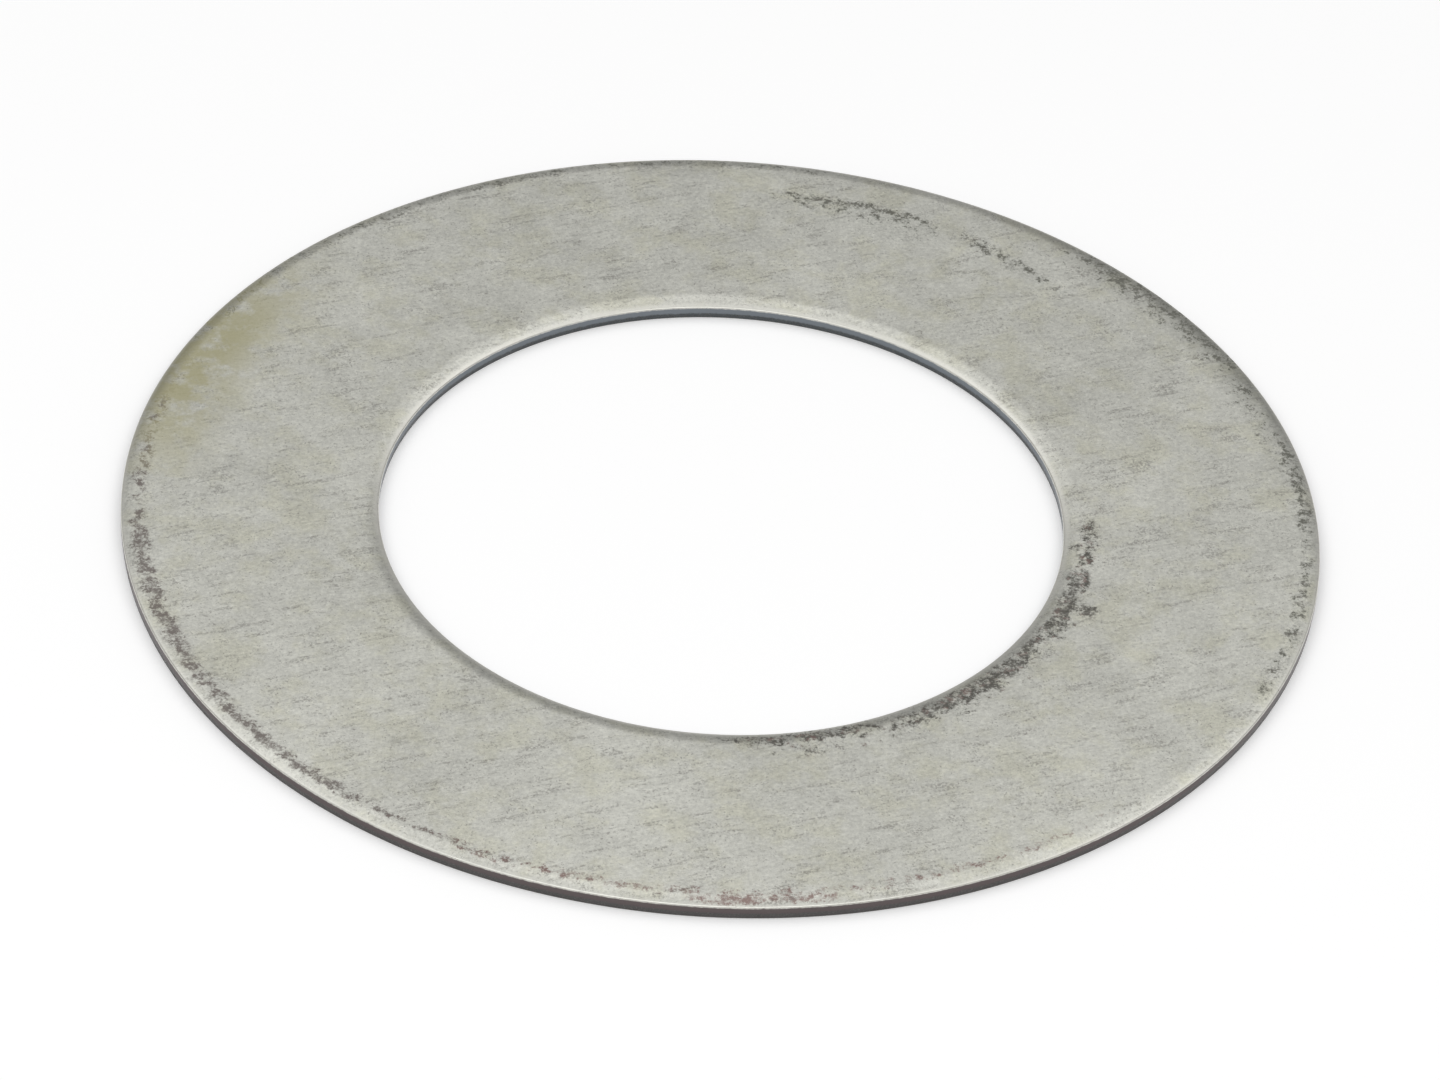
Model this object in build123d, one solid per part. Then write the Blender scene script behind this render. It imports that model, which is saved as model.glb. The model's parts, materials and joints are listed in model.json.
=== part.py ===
from build123d import *
import os
from math import atan2, degrees, radians, tan

# Shim ring, 40 x 70 x 1 mm, blanked from cold-rolled steel strip. It is one piece.
#
# Its bore and its rim were cut in a single press stroke, so both cuts entered the strip
# from the same side. Each cut edge therefore has the same three stages, going down from
# the top face:
#
#   1. a roll, where the strip was dragged down before it started to shear,
#   2. a burnished land, cut straight, which is the true size of the bore or the rim,
#   3. a break, where the last of the thickness tore away and leans back from the land.
#
# Tumbling has taken the burr off the two bottom corners and left a small chamfer there.
#
# Millimetres. The origin is on the bore's axis, in the bottom face, and +Z runs along the
# axis towards the rolled face.

# ---- Driving dimensions -------------------------------------------------------------

SHEET_THICKNESS = 1.0      # gauge of the strip
BORE_DIAMETER = 40.0       # at the land; slides over a 40 mm shaft turned to a running fit
RIM_DIAMETER = 70.0        # at the land; drops into a 70 mm housing bored for clearance

RIM_ROLL_WIDTH = 1.0       # how far the roll reaches in from the rim
RIM_ROLL_DEPTH = 0.25      # how far it drops below the top face
BORE_ROLL_WIDTH = 1.2      # the same two sizes at the bore
BORE_ROLL_DEPTH = 0.3
ROLL_CORNER_RADIUS = 0.12  # tight radius in which both rolls turn down into the land

LAND_HEIGHT = 0.35         # burnished height, the same at both edges
BREAK_ANGLE = 6.0          # degrees that the break leans back from the land
CORNER_CHAMFER = 0.05      # left by tumbling on both bottom corners


# ---- Section ------------------------------------------------------------------------

def cut_edge(land_radius, into_metal, roll_width, roll_depth):
    """One cut edge of the half-section, as curves in the XY plane: X is radius, Y is height.

    land_radius is where the land stands. into_metal is +1 where the metal lies at larger
    radii, as at the bore, and -1 where it lies at smaller radii, as at the rim. Returns the
    curves, and the radii where they run into the top face and the bottom face.
    """
    land_top = SHEET_THICKNESS - roll_depth
    land_bottom = land_top - LAND_HEIGHT
    break_lean = (land_bottom - CORNER_CHAMFER) * tan(radians(BREAK_ANGLE))
    break_radius = land_radius + into_metal * break_lean
    top_radius = land_radius + into_metal * roll_width
    bottom_radius = break_radius + into_metal * CORNER_CHAMFER

    # The roll is two arcs, tangent to each other, to the face and to the land: a long one
    # that leaves the face flush, and a tight one at the corner. For given width, depth and
    # corner radius, only one long radius lets them meet.
    long_radius = (roll_width**2 + roll_depth**2 - 2 * roll_width * ROLL_CORNER_RADIUS) / (
        2 * (roll_depth - ROLL_CORNER_RADIUS)
    )
    long_turn = degrees(atan2(roll_width - ROLL_CORNER_RADIUS, long_radius - roll_depth))
    sag = JernArc(
        (top_radius, SHEET_THICKNESS), (-into_metal, 0), long_radius, into_metal * long_turn
    )
    corner = JernArc(sag @ 1, sag % 1, ROLL_CORNER_RADIUS, into_metal * (90 - long_turn))
    land = Line((land_radius, land_top), (land_radius, land_bottom))
    torn = Line((land_radius, land_bottom), (break_radius, CORNER_CHAMFER))
    chamfer = Line((break_radius, CORNER_CHAMFER), (bottom_radius, 0))
    return [sag, corner, land, torn, chamfer], top_radius, bottom_radius


def half_section():
    """The bore edge and the rim edge, closed by the two flat faces, stood up in XZ."""
    bore_edge, bore_top, bore_bottom = cut_edge(
        BORE_DIAMETER / 2, +1, BORE_ROLL_WIDTH, BORE_ROLL_DEPTH
    )
    rim_edge, rim_top, rim_bottom = cut_edge(
        RIM_DIAMETER / 2, -1, RIM_ROLL_WIDTH, RIM_ROLL_DEPTH
    )
    top_face = Line((bore_top, SHEET_THICKNESS), (rim_top, SHEET_THICKNESS))
    bottom_face = Line((bore_bottom, 0), (rim_bottom, 0))
    outline = Wire([*bore_edge, *rim_edge, top_face, bottom_face])
    return Plane.XZ * Face(outline)


# ---- Solid --------------------------------------------------------------------------

ring = revolve(half_section(), axis=Axis.Z)
ring.label = "shim_ring"

os.makedirs("parts", exist_ok=True)
export_step(ring, "parts/shim_ring.step")

size = ring.bounding_box().size
print(f"shim_ring: {size.X:.2f} x {size.Y:.2f} x {size.Z:.2f} mm, {ring.volume:.1f} mm3")
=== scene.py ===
# %% [markdown]
# # Shim ring
#
# A thin flat steel ring that takes up end play on a shaft. It is blanked from cold-rolled
# strip in one press stroke and it is one piece, so all there is to see is steel: a satin
# face, a polished roll where the press dragged the face down at each edge, dark sheared
# edges below the rolls, and the marks of oil and handling.
#
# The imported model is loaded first. It gives every size that this script needs, and its
# box is kept, so that the dressed ring can be compared with it at the end.

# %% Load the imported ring
import json
from math import atan2, cos, degrees, hypot, pi, radians, sin
import bmesh
import bpy
from mathutils import Matrix, Vector, noise


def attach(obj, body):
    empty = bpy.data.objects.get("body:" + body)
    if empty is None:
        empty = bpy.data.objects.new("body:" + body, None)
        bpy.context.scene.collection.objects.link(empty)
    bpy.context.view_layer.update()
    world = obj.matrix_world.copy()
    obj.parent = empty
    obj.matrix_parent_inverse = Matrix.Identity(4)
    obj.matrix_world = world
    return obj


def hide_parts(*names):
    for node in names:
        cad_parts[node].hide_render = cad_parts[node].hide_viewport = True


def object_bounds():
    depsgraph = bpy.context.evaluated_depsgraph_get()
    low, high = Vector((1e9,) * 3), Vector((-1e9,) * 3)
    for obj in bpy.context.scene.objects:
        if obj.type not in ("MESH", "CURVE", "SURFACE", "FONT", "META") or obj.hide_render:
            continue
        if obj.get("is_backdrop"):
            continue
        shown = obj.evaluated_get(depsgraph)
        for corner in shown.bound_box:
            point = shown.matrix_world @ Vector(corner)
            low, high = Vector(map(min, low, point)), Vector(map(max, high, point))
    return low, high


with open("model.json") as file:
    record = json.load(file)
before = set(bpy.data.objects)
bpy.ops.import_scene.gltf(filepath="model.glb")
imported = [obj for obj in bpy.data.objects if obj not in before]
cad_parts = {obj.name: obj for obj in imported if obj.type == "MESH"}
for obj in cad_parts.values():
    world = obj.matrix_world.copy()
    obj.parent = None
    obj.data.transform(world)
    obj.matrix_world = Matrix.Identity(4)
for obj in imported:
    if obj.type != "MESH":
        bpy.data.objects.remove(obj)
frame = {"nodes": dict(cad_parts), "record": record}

cad_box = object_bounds()
cad_ring = frame["nodes"]["shim_ring"]
print("packed ring:", len(cad_ring.data.vertices), "vertices")

# %% [markdown]
# ## Reading the section
#
# A ring turned about one axis is known once its section is known: how wide and how deep
# each roll is, where the straight land stands below it, and how far the break leans back.
# We could write those numbers again, but then they could drift from the model. It is safer
# to read them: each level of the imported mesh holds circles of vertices, and the smallest
# and the largest circle of a level are the bore side and the rim side of the section.

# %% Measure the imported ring
MM = 0.001
LEVEL_GAP = 1e-6     # metres; vertices closer in height than this lie on one level

def circles(level):
    """Smallest and largest radius among the vertices at one height."""
    vertices = cad_ring.data.vertices
    found = [hypot(v.co.x, v.co.y) for v in vertices if abs(v.co.z - level) < LEVEL_GAP]
    return min(found), max(found)

mounts = {mount["name"]: mount for mount in frame["record"]["mounts"]}
levels = sorted({round(v.co.z, 6) for v in cad_ring.data.vertices})
bottom, chamfer_top, top = levels[0], levels[1], levels[-1]
side = {}
for name, pick in (("bore", 0), ("rim", 1)):
    mount = mounts[name]
    middle, height = mount["pos_m"][2], mount["dims"]["length_mm"] * MM
    side[name] = {
        "land": mount["dims"]["r_mm"] * MM,
        "land_top": middle + height / 2,
        "land_bottom": middle - height / 2,
        "face": circles(top)[pick],
        "break": circles(chamfer_top)[pick],
        "foot": circles(bottom)[pick],
    }
    print(name, {key: round(value / MM, 3) for key, value in side[name].items()}, "mm")

# %% [markdown]
# ## The ring's mesh
#
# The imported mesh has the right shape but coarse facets, which would show in the polished
# rolls. So the ring is made again with the same section, more finely. A lathe is the right
# picture to have in mind: one vertex is moved round the section, leaving edges behind it,
# and then the closed section is spun round the ring's axis. One spin of 1,200 steps would
# be slow, so it is spun through one sector, and copies of that sector complete the ring.
#
# Each roll is two arcs, tangent to each other. A long, slow arc leaves the flat face and a
# tight one turns down into the land. The tight radius is the only size written here. The
# long one follows from it, because only one radius lets the two arcs meet.

# %% A pen that draws the section
ROLL_CORNER = 0.12 * MM     # tight radius where both rolls turn down into the land
LONG_ARC_STEPS = 14
CORNER_STEPS = 9
SAME_POINT = 1e-7           # metres; points closer than this are merged

section = bmesh.new()

def draw_to(pen, radius, height, steps=1):
    """Extrude the pen's vertex in equal straight steps to a new radius and height."""
    stride = (Vector((radius, 0, height)) - pen.co) / steps
    for _ in range(steps):
        pen = bmesh.ops.extrude_vert_indiv(section, verts=[pen])["verts"][0]
        bmesh.ops.translate(section, verts=[pen], vec=stride)
    return pen

def turn_about(pen, radius, height, angle, steps):
    """Swing the pen's vertex round a centre in the plane of the section."""
    swung = bmesh.ops.spin(
        section, geom=[pen], cent=(radius, 0, height), axis=(0, 1, 0), angle=angle, steps=steps
    )
    return [item for item in swung["geom_last"] if isinstance(item, bmesh.types.BMVert)][0]

# %% Draw both cut edges and join them
FACE_STEPS = 3
LAND_STEPS = 3
BREAK_STEPS = 7

def draw_edge(edge, outward):
    """One cut edge, top face to bottom face. Outward is 1 at the rim and -1 at the bore."""
    width = outward * (edge["land"] - edge["face"])
    depth = top - edge["land_top"]
    long_radius = (width**2 + depth**2 - 2 * width * ROLL_CORNER) / (
        2 * (depth - ROLL_CORNER)
    )
    long_turn = atan2(width - ROLL_CORNER, long_radius - depth)
    first = section.verts.new((edge["face"], 0, top))
    pen = turn_about(first, edge["face"], top - long_radius, outward * long_turn, LONG_ARC_STEPS)
    pen = turn_about(
        pen, edge["land"] - outward * ROLL_CORNER, edge["land_top"],
        outward * (pi / 2 - long_turn), CORNER_STEPS,
    )
    pen = draw_to(pen, edge["land"], edge["land_bottom"], LAND_STEPS)
    pen = draw_to(pen, edge["break"], chamfer_top, BREAK_STEPS)
    pen = draw_to(pen, edge["foot"], bottom)
    print(f"long arc: {long_radius / MM:.2f} mm radius, {degrees(long_turn):.1f} degrees")
    return first, pen

rim_first, rim_last = draw_edge(side["rim"], 1)
draw_edge(side["bore"], -1)
draw_to(rim_first, side["bore"]["face"], top, FACE_STEPS)
draw_to(rim_last, side["bore"]["foot"], bottom, FACE_STEPS)
bmesh.ops.remove_doubles(section, verts=section.verts, dist=SAME_POINT)
print("section:", len(section.verts), "vertices,", len(section.edges), "edges")

# %% Spin the section round the axis
SECTORS = 15
SECTOR_STEPS = 80

bmesh.ops.spin(
    section, geom=section.verts[:] + section.edges[:], cent=(0, 0, 0), axis=(0, 0, 1),
    angle=2 * pi / SECTORS, steps=SECTOR_STEPS,
)
bmesh.ops.spin(
    section, geom=section.verts[:] + section.edges[:] + section.faces[:], cent=(0, 0, 0),
    axis=(0, 0, 1), angle=2 * pi * (SECTORS - 1) / SECTORS, steps=SECTORS - 1, use_duplicate=True,
)
bmesh.ops.remove_doubles(section, verts=section.verts, dist=SAME_POINT)
bmesh.ops.recalc_face_normals(section, faces=section.faces)
print("ring:", len(section.faces), "faces,", f"{section.calc_volume() / MM**3:.1f} mm3")
print("open edges:", sum(1 for edge in section.edges if not edge.is_manifold))

# %% [markdown]
# ## What the press left
#
# A sheared edge is never as even as a turned one. The break is torn, so it is rough, and
# the line where the tear begins wanders up and down the edge. The roughness is real shape
# here, because the spin made vertices close together; the wandering line is left to the
# material. Every vertex of the break moves inwards by a noise value, never outwards, so
# that the ring keeps its size.

# %% Roughen the two breaks
TEAR_DEPTH = 0.03 * MM
TEAR_GRAIN = 0.35 * MM
TEAR_SHARE = 0.3     # added to the noise, so that most of the break is bitten

deepest = 0
for vertex in section.verts:
    from_axis = hypot(vertex.co.x, vertex.co.y)
    for edge, outward in ((side["rim"], 1), (side["bore"], -1)):
        lean = abs(edge["break"] - edge["land"])
        on_break = chamfer_top + SAME_POINT < vertex.co.z < edge["land_bottom"] - SAME_POINT
        if on_break and abs(from_axis - edge["land"]) < lean + LEVEL_GAP:
            bite = TEAR_DEPTH * max(0.0, noise.noise(vertex.co / TEAR_GRAIN) + TEAR_SHARE)
            vertex.co.xy *= 1 - outward * bite / from_axis
            deepest = max(deepest, bite)
print(f"deepest bite out of a break: {deepest / MM:.4f} mm")

# %% Make it a piece of the ring's body
ring_mesh = bpy.data.meshes.new("shim_ring_steel")
section.to_mesh(ring_mesh)
section.free()
ring_mesh.shade_smooth()
ring_mesh.set_sharp_from_angle(angle=radians(40))
ring = bpy.data.objects.new("steel_ring", ring_mesh)
bpy.context.scene.collection.objects.link(ring)
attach(ring, "root")
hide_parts("shim_ring")
print("piece:", ring.name, len(ring_mesh.polygons) * 2, "triangles")

# %% [markdown]
# ## Writing shader maths as sums
#
# The finish is a long chain of small sums: how far is this point from the edge, is it
# inside that stain, how dark is it there. Placing a Math node for each by hand would hide
# the idea. A small class that holds one socket, and adds a Math node whenever it meets a
# plus or a times sign, lets us write the sums as they are read.

# %% A signal is one socket and the sums done on it
class Signal:
    def __init__(self, tree, socket):
        self.tree = tree
        self.socket = socket

    def node(self, kind, settings=None, sockets=None, output=0):
        """Any node: its settings are set first, then the values or links of its sockets."""
        made = self.tree.nodes.new("ShaderNode" + kind)
        for name, value in (settings or {}).items():
            setattr(made, name, value)
        for name, value in (sockets or {}).items():
            if isinstance(value, Signal):
                self.tree.links.new(value.socket, made.inputs[name])
            else:
                made.inputs[name].default_value = value
        return Signal(self.tree, made.outputs[output]) if made.outputs else None

    def math(self, operation, *values):
        return self.node("Math", {"operation": operation}, dict(enumerate(values)))

    def __add__(self, other):
        return self.math("ADD", self, other)

    def __radd__(self, other):
        return self.math("ADD", other, self)

    def __sub__(self, other):
        return self.math("SUBTRACT", self, other)

    def __rsub__(self, other):
        return self.math("SUBTRACT", other, self)

    def __mul__(self, other):
        return self.math("MULTIPLY", self, other)

    def __rmul__(self, other):
        return self.math("MULTIPLY", other, self)

    def __abs__(self):
        return self.math("ABSOLUTE", self)

# %% Helpers that read like workshop words
def rise(signal, start, end):
    """0 at start and 1 at end, with soft shoulders. End may be below start."""
    settings = {"interpolation_type": "SMOOTHSTEP"}
    sockets = {"Value": signal, "From Min": start, "From Max": end}
    return signal.node("MapRange", settings, sockets)

def paint(under, over, amount):
    """Lay one colour over another."""
    settings = {"data_type": "RGBA"}
    return amount.node("Mix", settings, {0: amount, 6: under, 7: over}, 2)

def tone(colour, level):
    """Make a colour darker or lighter by a factor that changes over the surface."""
    return level.node("VectorMath", {"operation": "SCALE"}, {0: colour, 3: level})

def strongest(*signals):
    """The largest of several masks, so that marks overlap without adding up."""
    best = signals[0]
    for signal in signals[1:]:
        best = best.math("MAXIMUM", best, signal)
    return best

# %% [markdown]
# ## Finding the way round the ring
#
# Every mark on the ring is easiest to place as a machinist would: so many degrees round,
# at such a radius, so high up the edge. Object coordinates are turned into millimetres and
# then into a radius and an angle. The angle is counted anticlockwise from the ring's +X.

# %% Start the material and its coordinates
steel = bpy.data.materials.new("rolled_steel")
steel.use_nodes = True
tree = steel.node_tree
tree.nodes.clear()

position = Signal(tree, tree.nodes.new("ShaderNodeTexCoord").outputs["Object"])
here = position.node("VectorMath", {"operation": "SCALE"}, {0: position, 3: 1 / MM})
x, y, z = (here.node("SeparateXYZ", None, {0: here}, axis) for axis in range(3))
radius = (x * x + y * y).math("SQRT", x * x + y * y)
angle = y.math("ARCTAN2", y, x) * (180 / pi)

def grain(size, detail=3, rough=0.55, seed=0, stretch=1, lay=0):
    """Noise from 0 to 1 whose patches are size mm across, stretched along a lay in degrees."""
    settings = {"vector_type": "TEXTURE"}
    sockets = {"Vector": here, "Location": (seed * 7.3, seed * 3.1, seed * 5.7)}
    sockets["Rotation"] = (0, 0, radians(lay))
    sockets["Scale"] = (size * stretch, size, size)
    placed = here.node("Mapping", settings, sockets)
    fineness = {"Vector": placed, "Scale": 1, "Detail": detail, "Roughness": rough}
    return here.node("TexNoise", None, fineness)

print("material:", steel.name)

# %% [markdown]
# ## Bare steel
#
# Cold-rolled strip is grey with a warm cast. It isn't one flat grey: there are wide pale
# and dull clouds from the rolling oil, a fine mottle a fifth of a millimetre across, and
# hardly visible streaks along the direction in which the strip went through the rolls.
# Each is a noise of its own size, with its middle at 0.5, that lifts or lowers the tone.
# The mottle does most of it.

# %% Tone and tint of the bare face
STEEL = (0.562, 0.561, 0.514, 1)
OLIVE = (0.510, 0.496, 0.345, 1)
OLIVE_SHARE = 0.30
ROLLING_LAY = 22     # degrees; the way the strip went through the rolls

clouds = grain(11, detail=2, seed=1)
patches = grain(1.8, detail=5, rough=0.65, seed=2)
mottle = grain(0.20, detail=4, rough=0.8, seed=3)
streaks = grain(0.14, detail=3, rough=0.6, seed=4, stretch=4, lay=ROLLING_LAY)
tint = rise(grain(3, detail=5, rough=0.65, seed=5), 0.44, 0.66)

level = (
    1.05 + (clouds - 0.5) * 0.35 + (patches - 0.5) * 0.40
    + (mottle - 0.5) * 1.10 + (streaks - 0.5) * 0.30
)
colour = paint(STEEL, OLIVE, tint * OLIVE_SHARE)
colour = tone(colour, level)
print("nodes for bare steel:", len(tree.nodes))

# %% [markdown]
# ## Marks of oil and handling
#
# A ring like this is stored oiled and picked up by its edges, so its stains lie along
# them. One is dark and crusty beside the bore, one is a brown dotted band inside the rim,
# and fainter ones follow more of the rim. One faint dark arc round the far side of the
# rim is painted shade, made with the same tools. A stain is an arc: a middle angle, half
# the angle that it spans, a radius and half a width. A noise lets its line wander, and
# another breaks it into clots, because dried oil is never an even coat.

# %% A stain that follows an edge, and a streak that does not
WANDER = 1.1           # mm between the extremes of a stain's wandering line
DIRT_STARTS = 0.62     # strength at which dirt begins to show, for a coat of 0
DIRT_IS_FULL = 1.30    # strength at which it hides the steel
COAT_HELP = 0.7        # how far a coat of 1 lowers both
THINNEST = 0.45        # share of the dirt that is left between the clots

drift = (grain(1.5, detail=3, seed=6) - 0.5) * WANDER
clots = grain(0.60, detail=5, rough=0.72, seed=7)
dots = grain(0.15, detail=3, rough=0.7, seed=8)
breakup = (clots - 0.5) * 3.0 + (dots - 0.5) * 1.6
density = THINNEST + rise(clots * 0.6 + dots * 0.4, 0.42, 0.58) * (1 - THINNEST)

def dirty(solid, coat):
    """Break a solid shape into clots. A coat of 1 is nearly closed and one of 0 leaves dots."""
    ease = coat * COAT_HELP
    clotted = rise(solid * 0.6 + breakup, DIRT_STARTS - ease, DIRT_IS_FULL - ease)
    return clotted * rise(solid, 0, 0.5)

def stain(middle, half_span, at_radius, half_width, coat):
    """Mask of an arc of dirt: degrees round the ring, then millimetres."""
    turn = abs((angle - middle).math("WRAP", angle - middle, 180, -180))
    across = abs(radius + drift - at_radius)
    solid = rise(turn, half_span, half_span * 0.4) * rise(across, half_width, 0)
    return dirty(solid, coat)

def streak(at_x, at_y, lay, half_length, half_width, coat):
    """Mask of a straight smear across the face, in millimetres and degrees."""
    c, s = cos(radians(lay)), sin(radians(lay))
    along = abs((x - at_x) * c + (y - at_y) * s)
    across = abs((y - at_y) * c - (x - at_x) * s + drift)
    solid = rise(along, half_length, half_length * 0.3) * rise(across, half_width, 0)
    return dirty(solid, coat)

# %% Crust beside the bore
SOOT = (0.085, 0.080, 0.068, 1)
RUST = (0.230, 0.140, 0.125, 1)
RUST_SHARE = 0.6
CRUST_COVER = 0.95

bore_crust = strongest(
    stain(-43, 22, 21.15, 1.05, 1.00),
    stain(-18, 14, 21.30, 1.00, 1.05),
    stain(-3, 9, 21.50, 0.85, 0.80),
    stain(-74, 18, 20.75, 0.95, 0.70),
    stain(-46, 50, 21.5, 1.90, 0.25),
    streak(21.2, -7.0, 8, 1.7, 0.65, 0.90),
    streak(21.3, -1.2, 8, 1.5, 0.60, 0.75),
) * density
rusty = rise(grain(0.5, detail=3, seed=9), 0.54, 0.66)
colour = paint(colour, paint(SOOT, RUST, rusty * RUST_SHARE), bore_crust * CRUST_COVER)
print("nodes with the crust:", len(tree.nodes))

# %% Dotted brown band inside the rim
BROWN = (0.135, 0.108, 0.098, 1)
BAND_COVER = 0.85

rim_band = strongest(
    stain(-160, 20, 34.0, 0.85, 0.90),
    stain(-138, 22, 33.95, 0.75, 0.75),
    stain(-116, 16, 33.95, 0.55, 0.50),
    stain(174, 18, 34.0, 0.85, 0.45),
) * density
rim_dots = strongest(
    stain(-84, 9, 34.45, 0.45, 0.85),
    stain(-95, 32, 34.0, 0.70, 0.35),
    stain(-62, 20, 33.9, 0.70, 0.25),
) * density
colour = paint(colour, BROWN, rim_band * BAND_COVER)
colour = paint(colour, RUST, rim_dots * BAND_COVER)
print("nodes with the band:", len(tree.nodes))

# %% Oil along the far rim, and painted shade there
# The dark colour below is used for the oil and for the painted shade along the far rim.
OIL_AND_SHADE = (0.120, 0.120, 0.098, 1)
OIL_AND_SHADE_COVER = 0.92
FAR_SHADE_COVER = 0.55

far_oil_and_shade = strongest(
    stain(41, 17, 34.35, 1.00, 0.95),
    stain(34, 32, 33.8, 1.50, 0.30),
    stain(10, 12, 34.3, 0.80, 0.65),
    stain(-12, 18, 34.2, 0.70, 0.45),
    stain(77, 13, 31.8, 0.60, 0.70),
    stain(76, 16, 31.2, 1.80, 0.25),
    # The long arc from 60 to 180 degrees on the rim's roll is painted shade, not oil.
    stain(120, 60, 34.5, 0.90, 0.35),
    streak(16.5, 26.2, -38, 6, 1.1, 0.50),
) * density
# A soft darkening that grows towards the rim on the far right, broken up by the patches, is
# painted shade.
far_rim_shade = rise(abs(angle - 38), 34, 6) * rise(radius, 32.4, 34.8) * rise(patches, 0.30, 0.60)
colour = paint(colour, OIL_AND_SHADE, strongest(far_oil_and_shade * OIL_AND_SHADE_COVER, far_rim_shade * FAR_SHADE_COVER))
print("nodes with the oil:", len(tree.nodes))

# %% [markdown]
# ## Specks and scuffs
#
# Between the stains the face is peppered with tiny dark specks, and short scuffs lie along
# the rolling direction. Hundreds of marks could be placed one by one, but a noise that is
# cut off near its top gives as many as are wanted, and a wider noise gathers them.

# %% Specks and short scuffs all over
SPECK = (0.190, 0.178, 0.160, 1)
MARK_COVER = 0.60

grouped = (grain(2.0, detail=4, rough=0.6, seed=12) - 0.5) * 0.9
pits = grain(0.15, detail=2, rough=0.6, seed=10)
lines = grain(0.45, detail=4, rough=0.6, seed=11, stretch=7, lay=ROLLING_LAY)
specks = rise(pits + grouped * 0.3, 0.60, 0.72)
scuffs = rise(lines + grouped * 0.5, 0.54, 0.66) * rise(dots, 0.44, 0.58)
small_marks = strongest(specks, scuffs * 0.9)
colour = paint(colour, SPECK, small_marks * MARK_COVER)
print("nodes with the small marks:", len(tree.nodes))

# %% [markdown]
# ## Yellowed film
#
# On the left, old oil has dried to a thin yellowish film. It has no sharp outline, so it is
# an arc with wide soft shoulders, and the patches of the steel under it break it up.

# %% Yellowed film at the left
YELLOW = (0.430, 0.405, 0.245, 1)
YELLOW_COVER = 0.85

yellowed = rise(abs(angle - 160), 26, 4) * rise(radius, 28.8, 33)
yellowed = yellowed * rise(patches, 0.32, 0.56)
colour = paint(colour, YELLOW, yellowed * YELLOW_COVER)
print("nodes with the film:", len(tree.nodes))

# %% [markdown]
# ## The cut edges
#
# Below each roll the edge is darker than the face. The land was burnished by the punch or
# the die under high pressure, with oil, and is painted a brownish purple at the rim and a
# bluish grey at the bore. That dark colour is partly the land's own and partly painted
# shade, and it reaches a little way up the tight corner of each roll. The torn break below
# it is duller and speckled. Height tells them apart, and a little noise makes the border
# between them ragged. Above the land, the tight part of each roll is painted pale all round
# as a painted highlight. The same pale paint reaches the flat underside.

# %% Paint land and break by height, and the painted highlight on the rolls
# The land and break colours are dark partly as the edge's own colour and partly as painted shade
# in place of a dim reflection.
RIM_LAND = (0.125, 0.104, 0.104, 1)
RIM_BREAK = (0.110, 0.106, 0.104, 1)
BORE_LAND = (0.185, 0.205, 0.225, 1)
BORE_BREAK = (0.100, 0.108, 0.112, 1)
PALE_TEAR = (0.260, 0.250, 0.235, 1)
# The pale colour below is a painted highlight, laid on the tight part of each roll.
PAINTED_HIGHLIGHT = (0.800, 0.790, 0.730, 1)
PALE_SHARE = 0.45
HIGHLIGHT_COVER = 0.75
HIGHLIGHT_FROM = 0.07     # mm below the face where the painted highlight starts
HIGHLIGHT_FULL = 0.17     # mm below the face where the painted highlight is full

nicks = grain(0.25, detail=3, rough=0.6, seed=13)
rim_side = rise(radius, 27, 28)
rim_line, bore_line = (side[name]["land_top"] / MM for name in ("rim", "bore"))
land_line = rim_side * rim_line + (1 - rim_side) * bore_line
break_line = land_line - (side["rim"]["land_top"] - side["rim"]["land_bottom"]) / MM
# The land colour starts 0.05 mm above the land, so painted shade darkens the foot of each roll's
# tight corner.
below_roll = rise(z + (nicks - 0.5) * 0.10, land_line + 0.05, land_line - 0.03)
in_break = rise(z + (nicks - 0.5) * 0.25, break_line + 0.06, break_line - 0.06)
tears = rise(grain(0.12, detail=4, rough=0.7, seed=14), 0.50, 0.72)

# This mask also holds the painted shade along the far rim, so the painted highlight is held back
# there too.
edge_dirt_and_shade = strongest(bore_crust, rim_band, rim_dots, far_oil_and_shade)
land_colour = paint(BORE_LAND, RIM_LAND, rim_side)
break_colour = paint(paint(BORE_BREAK, RIM_BREAK, rim_side), PALE_TEAR, tears * PALE_SHARE)
edge_colour = paint(land_colour, break_colour, in_break)
# Painted highlight: every point lower than the roll's tight part is painted pale, the flat
# underside too; the edge colour covers it on the walls.
roll_highlight = rise(z, top / MM - HIGHLIGHT_FROM, top / MM - HIGHLIGHT_FULL)
colour = paint(colour, PAINTED_HIGHLIGHT, roll_highlight * HIGHLIGHT_COVER * (1 - edge_dirt_and_shade))
on_edge = below_roll * rise(z, 0.004, 0.02)
colour = paint(colour, edge_colour, on_edge)
print("nodes with the cut edges:", len(tree.nodes))

# %% [markdown]
# ## Gloss and relief
#
# Clean rolled steel has a satin gloss, and the rolls are a touch smoother than the face.
# Dirt is duller than steel, and it isn't metal, so it raises the roughness and lowers the
# metallic value. A Bump node turns the same noises into relief too fine to model.

# %% Wire the finish to the shader
SATIN = 0.31         # roughness of clean steel
DIRT_DULLS = 0.22
EDGE_DULLS = 0.05
DIRT_HIDES = 0.5     # share of the metallic value that full dirt takes away

# This mask takes in the painted shade along the far rim as well, so that arc is dulled like dirt.
dirt = strongest(edge_dirt_and_shade * 0.7, small_marks * 0.3)
rolled = strongest(rise(radius, 21.2, 20.4), rise(radius, 34.0, 34.7))

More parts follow.
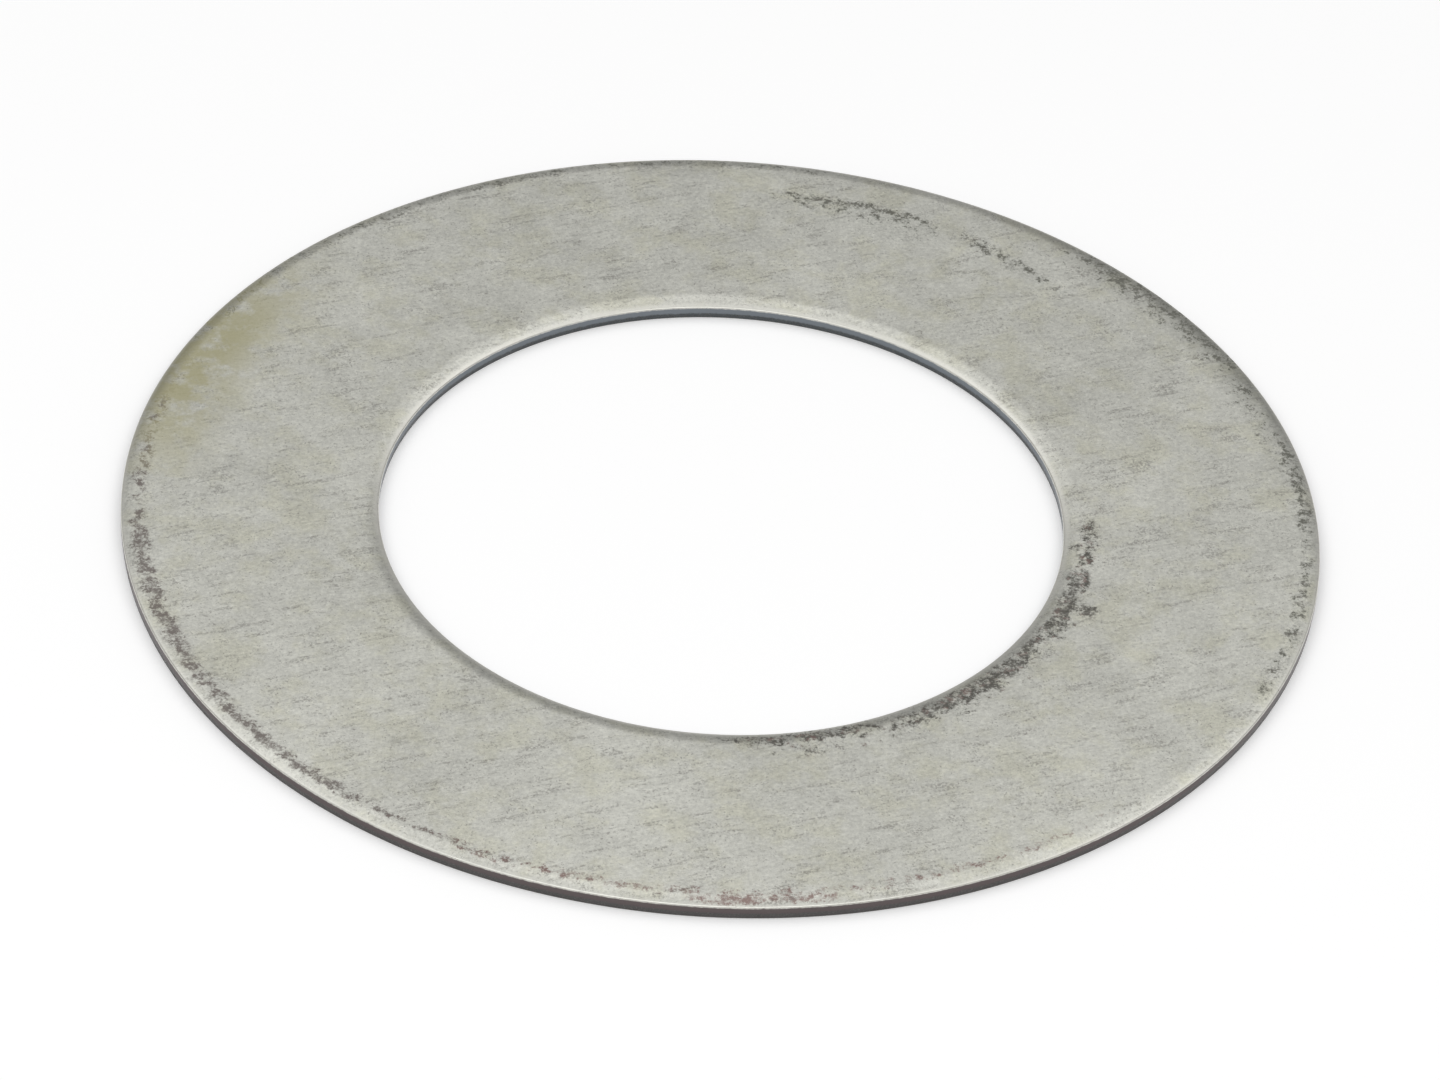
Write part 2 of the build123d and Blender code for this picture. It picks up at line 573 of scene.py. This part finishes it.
dullness = SATIN + (patches - 0.5) * 0.12 + (mottle - 0.5) * 0.12 - rolled * 0.01
dullness = dullness + dirt * DIRT_DULLS + on_edge * EDGE_DULLS
relief = (
    (mottle - 0.5) * 0.004 + (streaks - 0.5) * 0.003
    + bore_crust * clots * 0.010 + in_break * on_edge * tears * 0.02
)

bump = relief.node("Bump", None, {"Height": relief * MM, "Strength": 1.0, "Distance": 1.0})
shader = colour.node("BsdfPrincipled", None, {
    "Base Color": colour,
    "Metallic": 1 - dirt * DIRT_HIDES,
    "Roughness": dullness,
    "Normal": bump,
})
shader.node("OutputMaterial", None, {"Surface": shader})
ring_mesh.materials.append(steel)
print("nodes in", steel.name, len(tree.nodes))

# %% [markdown]
# ## Floor and light
#
# A polished roll is a mirror, so what stands round the ring decides how it looks. The
# ring lies on a plain white sheet. The sheet glows a little, but only for rays that look
# at it or meet it in the metal, so that it comes out white. One large soft lamp hangs over
# the ring, a little to the left and towards the camera, and lights up the roll on the near
# side of the rim and the far side of the bore. The studio around is pale. It is brightest
# about halfway up and dimmer towards the horizon and overhead, so that the face is brighter
# on the near side than on the far side.

# %% Floor
FLOOR_RADIUS = 3.0
SHEET = (0.86, 0.86, 0.86, 1)
SHEET_GLOW = 0.22

floor_form = bmesh.new()
bmesh.ops.create_circle(floor_form, cap_ends=True, segments=96, radius=FLOOR_RADIUS)
bmesh.ops.translate(floor_form, verts=floor_form.verts, vec=(0, 0, cad_box[0][2]))
floor_mesh = bpy.data.meshes.new("white_sheet")
floor_form.to_mesh(floor_mesh)
floor_form.free()
floor = bpy.data.objects.new("floor", floor_mesh)
bpy.context.scene.collection.objects.link(floor)
floor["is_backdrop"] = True

paper = bpy.data.materials.new("white_paper")
paper.use_nodes = True
paper.node_tree.nodes.clear()
light_path = paper.node_tree.nodes.new("ShaderNodeLightPath")
seen = strongest(*(
    Signal(paper.node_tree, light_path.outputs[f"Is {kind} Ray"])
    for kind in ("Camera", "Glossy", "Transmission")
))
sheet = seen.node("BsdfPrincipled", None, {
    "Base Color": SHEET, "Roughness": 0.9, "Specular IOR Level": 0.0,
    "Emission Color": (1, 1, 1, 1), "Emission Strength": seen * SHEET_GLOW,
})
sheet.node("OutputMaterial", None, {"Surface": sheet})
floor_mesh.materials.append(paper)
print("floor radius:", FLOOR_RADIUS, "m")

# %% World
HORIZON = 0.38
HALFWAY_UP = 1.17
ZENITH_DIP = 0.45
BRIGHTENS = (0.53, 0.69)     # sines of the angles above the horizon
DIMS = (0.82, 1)

world = bpy.data.worlds.new("studio")
bpy.context.scene.world = world
world.use_nodes = True
world.node_tree.nodes.clear()
sky_place = world.node_tree.nodes.new("ShaderNodeTexCoord")
sky = Signal(world.node_tree, sky_place.outputs["Generated"])
height = sky.node("SeparateXYZ", None, {0: sky}, 2)
glow = HORIZON + rise(height, *BRIGHTENS) * (HALFWAY_UP - HORIZON)
glow = glow - rise(height, *DIMS) * ZENITH_DIP
backdrop = glow.node("Background", None, {"Color": (1, 1, 1, 1), "Strength": glow})
backdrop.node("OutputWorld", None, {"Surface": backdrop})
print("studio brightness:", HORIZON, "to", HALFWAY_UP)

# %% Soft lamp
LAMP_HEIGHT = 0.323
LAMP_WIDE = 0.50
LAMP_DEEP = 0.40
LAMP_CENTRE = (-0.06, -0.265)
LAMP_RADIANCE = 0.5

lamp_data = bpy.data.lights.new("softbox", "AREA")
lamp_data.shape = "RECTANGLE"
lamp_data.size = LAMP_WIDE
lamp_data.size_y = LAMP_DEEP
lamp_data.energy = LAMP_RADIANCE * pi * LAMP_WIDE * LAMP_DEEP
lamp = bpy.data.objects.new("softbox", lamp_data)
bpy.context.scene.collection.objects.link(lamp)
lamp.location = (*LAMP_CENTRE, LAMP_HEIGHT)
lamp.visible_camera = False
print("lamp:", round(lamp_data.energy, 3), "W")

# %% [markdown]
# ## Camera
#
# A small flat thing is best seen through a long lens from about half a metre away. The
# camera looks down at the ring at 38 degrees. It is held a little crooked, so it is turned
# about its own line of sight as well.

# %% Camera
CAMERA_DISTANCE = 0.5137
CAMERA_ELEVATION = 38.418
CAMERA_ROLL = 3.593
CAMERA_LENS = 219.77
SENSOR_WIDTH = 36
AIM = Vector((0, -0.0014, 0))

camera_data = bpy.data.cameras.new("camera")
camera_data.sensor_width = SENSOR_WIDTH
camera_data.lens = CAMERA_LENS
camera_data.clip_start = 0.01
camera = bpy.data.objects.new("camera", camera_data)
bpy.context.scene.collection.objects.link(camera)
elevation = radians(CAMERA_ELEVATION)
eye = Vector((0, -cos(elevation), sin(elevation))) * CAMERA_DISTANCE
gaze = (AIM - eye).to_track_quat("-Z", "Y").to_matrix().to_4x4()
roll = Matrix.Rotation(radians(CAMERA_ROLL), 4, "Z")
camera.matrix_world = Matrix.Translation(eye) @ gaze @ roll
bpy.context.scene.camera = camera
bpy.context.scene.view_settings.view_transform = "Standard"
print("camera at", [round(value, 4) for value in eye])

# %% [markdown]
# ## Sizes at the end
#
# The dressed ring has to be as large as the imported one, so both boxes are printed.

# %% Print both sizes
new_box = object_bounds()
for label, corners in (("packed", cad_box), ("dressed", new_box)):
    print(label, [[round(value / MM, 3) for value in corner] for corner in corners], "mm")
